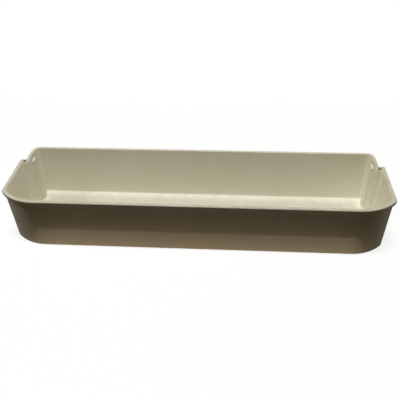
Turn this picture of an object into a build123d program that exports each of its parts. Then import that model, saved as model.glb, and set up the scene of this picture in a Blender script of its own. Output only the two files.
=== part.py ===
from build123d import *
import math
import os

# Door shelf of a refrigerator, moulded in one piece. Millimetres, +Z up.
# The front that faces the user is -Y, the back that meets the door is +Y.
# The origin is on the underside, midway between the ends and between front and back.

# overall size, measured over the rim
length = 424.0
depth = 110.5
height = 66.0

# the rear part is narrower by a shoulder at each end, to go in between the ribs of the door liner
shoulder_in = 6.7
rear_deep = 35.65
ear_deep = 7.4

# moulded section
wall = 1.9
floor_thick = 2.0
draft = 2.1
foot_radius = 3.0
inner_radius = 2.0

# plan of the front corners: a broad arc that meets the end wall in a soft edge
corner_across = 40.5
front_radius = 52.5
tip_radius = 7.0
rim_tip_radius = 4.5
rear_radius = 9.5
shoulder_round = 2.9

# rim: an outward lip round the front part, a slimmer bead round the rear part; its side leans in below
lip_out = 2.3
bead_out = 1.7
rim_thick = 5.4
rim_draft = 6.0
rim_top_radius = 1.1
rim_under_radius = 1.2
rim_inner_radius = 0.8
ear_radius = 1.8

# sleeve at each shoulder: an upright slot behind the end wall, beside the rear wall
sleeve_height = 14.0
sleeve_wall = 2.2
slot_radius = 0.8
sleeve_back_set = 0.2

# groove in each rear end wall, open below and closed on top, for the lug of the liner
groove_back = 19.25
groove_width = 5.2
groove_proud = 2.4
ledge_drop = 6.2
groove_flare = 0.9
ridge_round = 0.9

# how far the rear part runs on into the front part, and the blocks of the grooves into the end walls
lap = 30.0
block_in = 25.0
block_out = 5.0

# values that follow from the ones above
half_l = length / 2
half_rear = half_l - shoulder_in
half_d = depth / 2
arc_x = half_l - corner_across
arc_y = -half_d + front_radius
shoulder_y = half_d - rear_deep
ear_back_y = shoulder_y + ear_deep
lap_y = shoulder_y - lap
slot_across = shoulder_in + bead_out - lip_out - sleeve_wall
slot_deep = ear_deep - sleeve_back_set - sleeve_wall
groove_y = half_d - groove_back
ledge_z = height - ledge_drop
groove_z = ledge_z - wall
ridge_width = groove_width + 2 * wall
rim_lean = math.radians(rim_draft)
rim_swell = rim_top_radius * (math.tan(rim_lean) + 1 / math.cos(rim_lean) - 1)


def front_plan(inset, back_y, edge_r):
    """Plan of the front part, its outline moved in from the rim by the inset."""
    hx = half_l - inset
    yf = -half_d + inset
    r = front_radius - inset
    turn = math.asin((hx - arc_x) / r)
    tip_y = arc_y - r * math.cos(turn)
    mid_x = arc_x + r * math.sin(turn / 2)
    mid_y = arc_y - r * math.cos(turn / 2)
    face = make_face([
        Line((-arc_x, yf), (arc_x, yf)),
        ThreePointArc((arc_x, yf), (mid_x, mid_y), (hx, tip_y)),
        Line((hx, tip_y), (hx, back_y)),
        Line((hx, back_y), (-hx, back_y)),
        Line((-hx, back_y), (-hx, tip_y)),
        ThreePointArc((-hx, tip_y), (-mid_x, mid_y), (-arc_x, yf)),
    ])
    for side in (-1, 1):
        corner = face.vertices().sort_by_distance(Vector(side * hx, tip_y, 0))[0]
        face = fillet(corner, edge_r)
    return face


def rear_plan(inset, front_y):
    """Plan of the narrower rear part, which starts inside the front part."""
    rx = half_rear - inset
    yb = half_d - inset
    face = Pos(0, (front_y + yb) / 2) * Rectangle(2 * rx, yb - front_y)
    return fillet(face.vertices().group_by(Axis.Y)[-1], rear_radius - inset)


def drafted(face, low_z, angle=draft):
    """Solid under a plan at rim level, drawing in towards the bottom."""
    return extrude(Pos(0, 0, height) * face, amount=low_z - height, dir=(0, 0, 1), taper=angle)


def rounded_below(solid, radius):
    """The same solid with the edge round its lowest face rounded."""
    low = solid.faces().sort_by(Axis.Z)[0]
    return fillet(low.edges(), radius)


def halves(inset, low_z):
    """Front and rear part as drafted solids, inset from the outer wall surface."""
    front = drafted(front_plan(lip_out + inset, shoulder_y - inset, tip_radius - inset), low_z)
    rear = drafted(rear_plan(bead_out + inset, lap_y), low_z)
    return front, rear


def plate(face):
    """Rim plate over a plan, with soft outer edges."""
    slab = drafted(face, height - rim_thick, rim_draft)
    slab = fillet(slab.faces().sort_by(Axis.Z)[-1].edges(), rim_top_radius)
    return fillet(slab.faces().sort_by(Axis.Z)[0].edges(), rim_under_radius)


def upright(y, z_low, z_top, width_top, width_low):
    """Block through an end wall, wider at its foot than at its top."""
    side = Plane.YZ * Polygon(
        (y - width_low / 2, z_low),
        (y + width_low / 2, z_low),
        (y + width_top / 2, z_top),
        (y - width_top / 2, z_top),
        align=None,
    )
    return Pos(half_rear - block_in, 0, 0) * extrude(side, amount=block_in + block_out)


# shell of even wall thickness; inside, the step at each shoulder is a soft S-curve
front_out, rear_out = halves(0, 0)
outer = rounded_below(front_out, foot_radius) + rounded_below(rear_out, foot_radius)
front_in, rear_in = halves(wall, floor_thick)
cavity = front_in + rear_in
shoulder_edges = [
    edge
    for edge in cavity.edges()
    if abs((edge @ 0).Z - (edge @ 1).Z) > height / 2 and lap_y < (edge @ 0.5).Y < shoulder_y
]
cavity = rounded_below(fillet(shoulder_edges, shoulder_round), inner_radius)

# rim, whose front part runs on past the shoulders as two ears
ear_plan = front_plan(-rim_swell, ear_back_y, rim_tip_radius)
ear_plan = fillet(ear_plan.vertices().group_by(Axis.Y)[-1], ear_radius)
rim = plate(ear_plan) + plate(rear_plan(-rim_swell, lap_y))

# sleeves under the ears
sleeve_x0 = half_rear - bead_out - wall
sleeve_x1 = half_l - lip_out
sleeve_y0 = shoulder_y - wall / 2
sleeve_y1 = ear_back_y - sleeve_back_set
sleeve_z1 = height - rim_thick / 2
sleeve = Pos(
    (sleeve_x0 + sleeve_x1) / 2,
    (sleeve_y0 + sleeve_y1) / 2,
    (height - sleeve_height + sleeve_z1) / 2,
) * Box(sleeve_x1 - sleeve_x0, sleeve_y1 - sleeve_y0, sleeve_z1 - height + sleeve_height)
shelf = outer + rim + sleeve + mirror(sleeve, Plane.YZ) - cavity

# ridges inside the rear end walls, with the grooves behind them
deep_wall = drafted(rear_plan(bead_out + wall + groove_proud, lap_y), -1)
deep_back = drafted(rear_plan(bead_out + groove_proud, lap_y), -2)
ridge = upright(groove_y, floor_thick / 3, ledge_z, ridge_width, ridge_width + 2 * groove_flare)
ridge = (ridge & outer) - deep_wall
inner_face = ridge.faces().filter_by(lambda f: abs(f.normal_at().X) > 0.9).sort_by(Axis.X)[0]
soft_edges = [edge for edge in inner_face.edges() if (edge @ 0.5).Z > floor_thick + inner_radius]
ridge = fillet(soft_edges, ridge_round)
groove = upright(groove_y, -1, groove_z, groove_width, groove_width + 2 * groove_flare) - deep_back
shelf = shelf + ridge + mirror(ridge, Plane.YZ) - groove - mirror(groove, Plane.YZ)

# slots, right through the sleeves
slot = Pos(
    half_rear - bead_out + slot_across / 2,
    shoulder_y + slot_deep / 2,
    height - sleeve_height / 2,
) * Box(slot_across, slot_deep, 2 * sleeve_height)
slot = fillet(slot.edges().filter_by(Axis.Z), slot_radius)
shelf = shelf - slot - mirror(slot, Plane.YZ)

# soft inner edge of the rim
top_face = shelf.faces().filter_by(Axis.Z).sort_by(Axis.Z)[-1]
mouth = sorted(top_face.inner_wires(), key=lambda w: w.length)[-1]
shelf = fillet(mouth.edges(), rim_inner_radius)

os.makedirs("parts", exist_ok=True)
export_step(shelf, "parts/door_shelf.step")
print("volume cm3", round(shelf.volume / 1000, 2), "solids", len(shelf.solids()))
box = shelf.bounding_box()
print("box", box.min, box.max)
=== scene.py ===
import math
import bpy
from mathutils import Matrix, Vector


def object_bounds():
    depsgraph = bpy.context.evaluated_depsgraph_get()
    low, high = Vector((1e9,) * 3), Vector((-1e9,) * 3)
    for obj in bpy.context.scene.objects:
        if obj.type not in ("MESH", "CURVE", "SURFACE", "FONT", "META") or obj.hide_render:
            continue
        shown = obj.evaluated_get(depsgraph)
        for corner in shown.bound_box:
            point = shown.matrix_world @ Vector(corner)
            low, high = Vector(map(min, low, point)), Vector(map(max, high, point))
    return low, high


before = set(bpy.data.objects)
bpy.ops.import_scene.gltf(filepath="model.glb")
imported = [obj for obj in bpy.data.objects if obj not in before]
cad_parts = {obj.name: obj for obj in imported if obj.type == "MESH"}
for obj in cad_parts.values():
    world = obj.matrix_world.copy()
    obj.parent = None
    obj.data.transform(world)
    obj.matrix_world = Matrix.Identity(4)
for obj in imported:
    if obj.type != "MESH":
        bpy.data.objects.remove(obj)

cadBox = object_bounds()
halfLong, halfDeep, rimTop = cadBox[1]  # the origin is midway along the underside
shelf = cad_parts["door_shelf"]
print("frame loaded:", shelf.name, len(shelf.data.polygons), "faces")

pureWhite = (1.0, 1.0, 1.0, 1.0)
pureBlack = (0.0, 0.0, 0.0, 1.0)


# a shader socket that can be used in plain expressions
class Wire:
    def __init__(self, tree, socket=None):
        self.tree = tree
        self.socket = socket

    def add(self, kind, settings=None, sockets=None, out=0):
        node = self.tree.nodes.new(kind)
        for name, value in (settings or {}).items():
            setattr(node, name, value)
        for name, value in (sockets or {}).items():
            if isinstance(value, Wire):
                self.tree.links.new(value.socket, node.inputs[name])
            else:
                node.inputs[name].default_value = value
        return Wire(self.tree, node.outputs[out] if node.outputs else None)

    def pick(self, name):  # an output, by name, of the node behind this socket
        return Wire(self.tree, self.socket.node.outputs[name])

    def parts(self):  # x, y and z of this vector
        split = self.add("ShaderNodeSeparateXYZ", None, {"Vector": self})
        return [split.pick(axis) for axis in "XYZ"]

    def maths(self, operation, a, b=0.0):
        return self.add("ShaderNodeMath", {"operation": operation}, {0: a, 1: b})

    def __add__(self, other):
        return self.maths("ADD", self, other)

    def __radd__(self, other):
        return self.maths("ADD", other, self)

    def __sub__(self, other):
        return self.maths("SUBTRACT", self, other)

    def __rsub__(self, other):
        return self.maths("SUBTRACT", other, self)

    def __mul__(self, other):
        return self.maths("MULTIPLY", self, other)

    def __rmul__(self, other):
        return self.maths("MULTIPLY", other, self)

    def __abs__(self):
        return self.maths("ABSOLUTE", self)

    def step(self, low, high):  # 0 below low, 1 above high, smooth in between
        return self.add(
            "ShaderNodeMapRange",
            {"interpolation_type": "SMOOTHSTEP", "clamp": True},
            {"Value": self, "From Min": low, "From Max": high},
        )

    def tint(self, start, end):  # colour from start to end as this value goes from 0 to 1
        return self.add(
            "ShaderNodeMix",
            {"data_type": "RGBA", "clamp_factor": True},
            {"Factor": self, 6: start, 7: end},  # 6, 7 and out 2 are the node's colour sockets
            out=2,
        )

    def noise(self, scale, detail, rough):  # this socket is the place
        return self.add(
            "ShaderNodeTexNoise",
            None,
            {"Vector": self, "Scale": scale, "Detail": detail, "Roughness": rough},
        )

    def stretched(self, turn, scale):  # this socket is the place
        return self.add(
            "ShaderNodeMapping",
            {"vector_type": "TEXTURE"},
            {"Vector": self, "Rotation": (0, 0, math.radians(turn)), "Scale": scale},
        )


def newMaterial(name):
    material = bpy.data.materials.new(name)
    material.use_nodes = True
    material.node_tree.nodes.clear()
    return material, Wire(material.node_tree)


def seenRays(net):  # 1 for rays that show the background, 0 for those that carry light
    path = net.add("ShaderNodeLightPath")
    rays = ("Is Camera Ray", "Is Glossy Ray", "Is Transmission Ray")
    return sum(path.pick(name) for name in rays).step(0.0, 1.0)


# cream moulded plastic, a little yellowed with age and scuffed by bottles
shelfPlastic = {
    "cream": (0.893, 0.870, 0.752, 1.0),
    "yellowed": (0.874, 0.845, 0.700, 1.0),
    "rimWearAndShade": (0.655, 0.618, 0.468, 1.0),
    "unwornAndPaintedLight": (0.945, 0.922, 0.815, 1.0),
    "wornPastWallLight": (0.770, 0.745, 0.633, 1.0),
    "scuffed": (0.690, 0.650, 0.520, 1.0),
    "roughness": 0.62,
    "specular": 0.10,
    # where each look starts and is full, in metres or as the upward part of the normal
    "rimDepth": (0.005, 0.003),  # below the top of the rim
    "rimFacing": (0.2, 0.8),
    "backRim": (0.030, 0.050),  # behind the middle, where hands seldom reach and less painted shade is put on the rim
    "floorHeight": (0.0045, 0.0085),
    "floorFacing": (0.0, 0.4),
    "floorInset": (0.012, 0.00625),  # from the ends, and from front and back
    "wearAndLightReach": (0.001, 0.0145),  # from the walls
    "wearAndLightWander": 0.003,  # how unevenly the painted light near the walls gives way to wear
    "footHeight": (0.0005, 0.0045),
    # noises by scale, detail and roughness, and the values between which they show
    "clouds": (11.0, 3.0, 0.55),
    "mottle": (85.0, 3.0, 0.6),
    "scrapes": ((8, 60.0), (-23, 48.0), (71, 55.0)),  # turn in degrees, and scale
    "scrapeDetail": (2.0, 0.5),
    "scrapeStretch": (0.9, 0.035, 1.0),
    "sink": (26.0, 1.0, 0.4),
    "grain": (520.0, 2.0, 0.5),
    "noiseMiddle": 0.5,
    "agedRange": (0.38, 0.68),
    "rimWearAndShadeRange": (0.40, 0.60),
    "scrapeRange": (0.635, 0.70),
    "scrapeBreaks": (0.40, 0.62),
    "dirtRange": (0.45, 0.65),
    # how much of each look there is
    "agedMix": {"clouds": 0.8, "mottle": 0.2},
    "rimWearAndShadeMix": {"all": 0.64, "mottle": 0.26},
    "backRimSpared": 0.7,
    "floorAmount": 0.9,
    "scrapeAmount": 0.10,
    "dirtAmount": 0.35,
    "rougher": {"mottle": 0.07, "scrapes": 0.16, "dirt": 0.12, "rimWearAndShade": -0.05},
    "reliefMix": {"sink": 0.55, "grain": 0.05},
    "bump": {"Strength": 0.25, "Distance": 0.0009},
}


def makePlastic(look):
    material, net = newMaterial("creamMouldedPlastic")
    coords = net.add("ShaderNodeTexCoord")
    place = coords.pick("Object")
    x, y, z = place.parts()
    up = coords.pick("Normal").parts()[2]

    # where it is: the rim top, darker partly from hand wear and partly as painted shade, the floor that
    # bottles scrape and that is painted lighter near the walls, the foot that stands on things
    onRim = z.step(*(rimTop - depth for depth in look["rimDepth"])) * up.step(*look["rimFacing"])
    onFloor = (1 - z.step(*look["floorHeight"])) * up.step(*look["floorFacing"])
    onFoot = 1 - z.step(*look["footHeight"])

    # what it looks like there
    clouds = place.noise(*look["clouds"])
    mottle = place.noise(*look["mottle"])
    aged = clouds * look["agedMix"]["clouds"] + mottle * look["agedMix"]["mottle"]
    aged = aged.step(*look["agedRange"])
    # the rim top is darker: partly hand wear, partly painted shade, with less of both at the back
    rimWearAndShade = look["rimWearAndShadeMix"]["all"] + look["rimWearAndShadeMix"]["mottle"] * mottle.step(*look["rimWearAndShadeRange"])
    rimWearAndShade = onRim * rimWearAndShade * (1 - look["backRimSpared"] * y.step(*look["backRim"]))
    wide, deep = halfLong - look["floorInset"][0], halfDeep - look["floorInset"][1]
    fromWall = net.maths("MINIMUM", wide - abs(x), deep - abs(y))
    fromWall = fromWall + look["wearAndLightWander"] * (clouds - look["noiseMiddle"])
    wornPastWallLight = fromWall.step(*look["wearAndLightReach"])
    scrapes = 0
    for turn, scale in look["scrapes"]:
        line = place.stretched(turn, look["scrapeStretch"]).noise(scale, *look["scrapeDetail"])
        scrapes = scrapes + line.step(*look["scrapeRange"])
    scrapes = onFloor * wornPastWallLight * (scrapes * mottle.step(*look["scrapeBreaks"])).step(0.0, 1.0)
    dirt = onFoot * mottle.step(*look["dirtRange"])

    colour = aged.tint(look["cream"], look["yellowed"])
    colour = rimWearAndShade.tint(colour, look["rimWearAndShade"])
    # near the walls the floor is painted lighter than the plain cream, as painted light; away from them it
    # is darker from bottle wear
    colour = (onFloor * look["floorAmount"]).tint(colour, wornPastWallLight.tint(look["unwornAndPaintedLight"], look["wornPastWallLight"]))
    colour = (scrapes * look["scrapeAmount"]).tint(colour, look["scuffed"])
    colour = (dirt * look["dirtAmount"]).tint(colour, look["scuffed"])
    rough = (
        look["roughness"]
        + look["rougher"]["mottle"] * (mottle - look["noiseMiddle"])
        + look["rougher"]["scrapes"] * scrapes
        + look["rougher"]["dirt"] * dirt
        + look["rougher"]["rimWearAndShade"] * rimWearAndShade
    )

    # faint sink of the wall, and the grain of the mould
    sink = place.noise(*look["sink"]) * look["reliefMix"]["sink"]
    relief = sink + place.noise(*look["grain"]) * look["reliefMix"]["grain"]
    bump = net.add("ShaderNodeBump", None, {"Height": relief, **look["bump"]})
    surface = net.add(
        "ShaderNodeBsdfPrincipled",
        None,
        {
            "Base Color": colour,
            "Roughness": rough,
            "Specular IOR Level": look["specular"],
            "Normal": bump,
        },
    )
    net.add("ShaderNodeOutputMaterial", None, {"Surface": surface})
    return material


shelf.data.materials.clear()
shelf.data.materials.append(makePlastic(shelfPlastic))
print("plastic laid on", shelf.name)

# white to the eye, with the shelf's shadow; the light it throws back is warm, and dies away from the shelf
studioFloor = {
    "across": 6.0,
    "drop": 0.0003,
    "footInset": (0.012, 0.00325),  # from the ends, and from front and back
    "nearBounce": (0.59, 0.440, 0.272, 1.0),
    "farBounce": (0.041, 0.038, 0.031, 1.0),
    "endBounce": (0.058, 0.039, 0.004, 1.0),
    "bounceReach": (0.013, 0.050),  # out from the foot
    "bounceEnd": 0.047,  # back from the ends
    "glow": (0.86, 0.86, 0.86, 1.0),
    "paper": (0.20, 0.20, 0.20, 1.0),
    "shadowReach": (0.10, 0.30),  # out from the foot
    "matt": {"Roughness": 1.0, "Specular IOR Level": 0.0},
}


def paintFloor(look):
    material, net = newMaterial("paleFloor")
    x, y = net.add("ShaderNodeTexCoord").pick("Object").parts()[:2]
    wide, deep = halfLong - look["footInset"][0], halfDeep - look["footInset"][1]
    away = net.maths("MAXIMUM", abs(x) - wide, abs(y) - deep)

    # what the floor throws back on to the shelf
    pastEnds = abs(x).step(halfLong - look["bounceEnd"], halfLong)
    near = (1 - away.step(*look["bounceReach"])) * (1 - pastEnds)
    thrown = near.tint(pastEnds.tint(look["farBounce"], look["endBounce"]), look["nearBounce"])
    bounce = net.add("ShaderNodeBsdfPrincipled", None, {"Base Color": thrown, **look["matt"]})

    # what is seen: near the shelf part of the white is lit paper, which takes the shadow
    # far off it is all glow
    farOff = away.step(*look["shadowReach"])
    paper = farOff.tint(look["paper"], pureBlack)
    glow = farOff.tint(look["glow"], pureWhite)
    lit = {"Base Color": paper, "Emission Color": glow, "Emission Strength": 1.0, **look["matt"]}
    white = net.add("ShaderNodeBsdfPrincipled", None, lit)
    both = net.add("ShaderNodeMixShader", None, {0: seenRays(net), 1: bounce, 2: white})
    net.add("ShaderNodeOutputMaterial", None, {"Surface": both})
    return material


def makeFloor(look):
    bpy.ops.object.select_all(action="DESELECT")
    bpy.ops.mesh.primitive_plane_add(size=look["across"], location=(0, 0, -look["drop"]))
    bpy.ops.object.transform_apply(location=True, rotation=False, scale=False)
    floor = bpy.context.object
    floor.name = "studioFloor"
    floor.data.materials.append(paintFloor(look))


makeFloor(studioFloor)
print("floor laid")

# a narrow lamp overhead that shades the front, soft panels on three sides, and dim room light
studioLight = {
    "overheadLamp": {
        "place": (-0.02, -0.194, 1.50),
        "aim": (-0.02, -0.194, 0),
        "size": (0.30, 0.004),
        "power": 13.05,
        "colour": (1.0, 0.985, 0.965),
    },
    "leftPanel": {
        "place": (-1.22, 0.01, 1.08),
        "aim": (0, 0.01, 0),
        "size": (0.10, 0.40),
        "power": 3.95,
        "colour": (1.0, 0.950, 0.830),
    },
    "rightPanel": {
        "place": (1.40, 0.30, 0.20),
        "aim": (0, 0, 0.05),
        "size": (0.50, 0.25),
        "power": 1.4,
        "colour": (1.0, 0.930, 0.780),
    },
    "backPanel": {
        "place": (0.10, 1.40, 0.22),
        "aim": (0, 0, 0.05),
        "size": (1.20, 0.35),
        "power": 5.4,
        "colour": (1.0, 0.970, 0.930),
    },
}
roomLight = (0.005, 0.0043, 0.0033, 1.0)


def makeLamp(name, setup):
    look = Vector(setup["aim"]) - Vector(setup["place"])
    turn = look.to_track_quat("-Z", "Y").to_euler()
    bpy.ops.object.light_add(type="AREA", location=setup["place"], rotation=turn)
    lamp = bpy.context.object
    lamp.name = name
    lamp.data.shape = "RECTANGLE"
    lamp.data.size, lamp.data.size_y = setup["size"]
    lamp.data.energy = setup["power"]
    lamp.data.color = setup["colour"]


def makeRoom():
    room = bpy.data.worlds.new("studioRoom")
    bpy.context.scene.world = room
    room.use_nodes = True
    room.node_tree.nodes.clear()
    net = Wire(room.node_tree)
    sky = net.add("ShaderNodeBackground", None, {"Color": seenRays(net).tint(roomLight, pureWhite)})
    net.add("ShaderNodeOutputWorld", None, {"Surface": sky})


for lampName, lampSetup in studioLight.items():
    makeLamp(lampName, lampSetup)
makeRoom()
print("lights set:", len(studioLight))

# camera at the photograph's viewpoint
cameraSetup = {
    "place": (0.04277, -0.47494, 0.40186),
    "turn": (52.173, 1.157, 3.913),
    "lens": 46.768,
    "sensor": 36.0,
    "nearest": 0.01,
}


def makeCamera(setup):
    turn = [math.radians(angle) for angle in setup["turn"]]
    bpy.ops.object.camera_add(location=setup["place"], rotation=turn)
    camera = bpy.context.object
    camera.data.sensor_width = setup["sensor"]
    camera.data.lens = setup["lens"]
    camera.data.clip_start = setup["nearest"]
    camera.data.dof.use_dof = False
    bpy.context.scene.camera = camera
    bpy.context.scene.view_settings.view_transform = "Standard"


makeCamera(cameraSetup)
print("camera placed")
